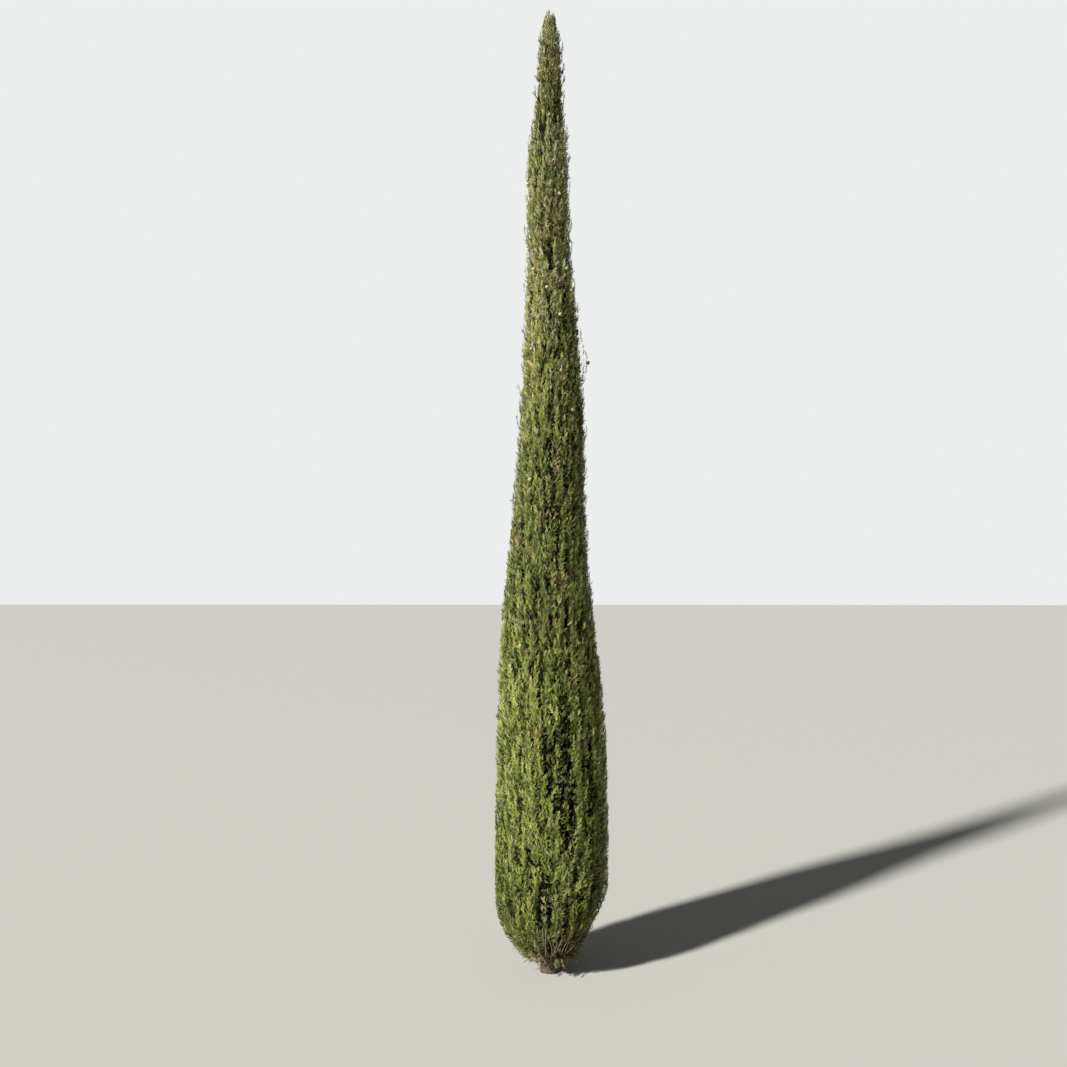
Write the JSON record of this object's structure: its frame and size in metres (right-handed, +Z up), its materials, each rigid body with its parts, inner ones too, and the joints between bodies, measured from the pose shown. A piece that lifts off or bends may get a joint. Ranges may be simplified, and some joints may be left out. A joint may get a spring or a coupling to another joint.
{
  "type": "columnar italian cypress tree",
  "caption": "Narrow columnar italian cypress rooted in the ground: a straight tapering trunk, short steep boughs and dense upright plumes of foliage with seed cones near the top.",
  "frame": {"origin": "the middle of the trunk's flat cut at ground level", "axes": "+Z up along the trunk, +X to the right and +Y to the back, seen from the front"},
  "size_m": [0.4817, 0.4832, 4],
  "materials": {
    "bark": "rough grey-brown fibrous bark in long shallow strips",
    "foliage": "matt scale leaves, olive to yellow-green on the light side, tan on old tips and cones"
  },
  "bodies": {
    "root": {"bough_1_a": "bark", "bough_1_b": "bark", "bough_1_c": "bark", "bough_1_d": "bark", "bough_1_e": "bark", "bough_1_f": "bark", "bough_1_g": "bark", "bough_2_a": "bark", "bough_2_b": "bark", "bough_2_c": "bark", "bough_2_d": "bark", "bough_2_e": "bark", "bough_2_f": "bark", "bough_2_g": "bark", "foliage_leader": "foliage", "foliage_lower_1_a": "foliage", "foliage_lower_1_b": "foliage", "foliage_lower_1_c": "foliage", "foliage_lower_1_d": "foliage", "foliage_lower_1_e": "foliage", "foliage_lower_1_f": "foliage", "foliage_lower_1_g": "foliage", "foliage_lower_2_a": "foliage", "foliage_lower_2_b": "foliage", "foliage_lower_2_c": "foliage", "foliage_lower_2_d": "foliage", "foliage_lower_2_e": "foliage", "foliage_lower_2_f": "foliage", "foliage_lower_2_g": "foliage", "foliage_lower_3_a": "foliage", "foliage_lower_3_b": "foliage", "foliage_lower_3_c": "foliage", "foliage_lower_3_d": "foliage", "foliage_lower_3_e": "foliage", "foliage_lower_3_f": "foliage", "foliage_lower_3_g": "foliage", "foliage_middle_1_a": "foliage", "foliage_middle_1_b": "foliage", "foliage_middle_1_c": "foliage", "foliage_middle_1_d": "foliage", "foliage_middle_1_e": "foliage", "foliage_middle_2_a": "foliage", "foliage_middle_2_b": "foliage", "foliage_middle_2_c": "foliage", "foliage_middle_2_d": "foliage", "foliage_middle_2_e": "foliage", "foliage_upper_1_a": "foliage", "foliage_upper_1_b": "foliage", "foliage_upper_1_c": "foliage", "foliage_upper_2_a": "foliage", "foliage_upper_2_b": "foliage", "foliage_upper_2_c": "foliage", "trunk": "bark"}
  },
  "joints": []
}
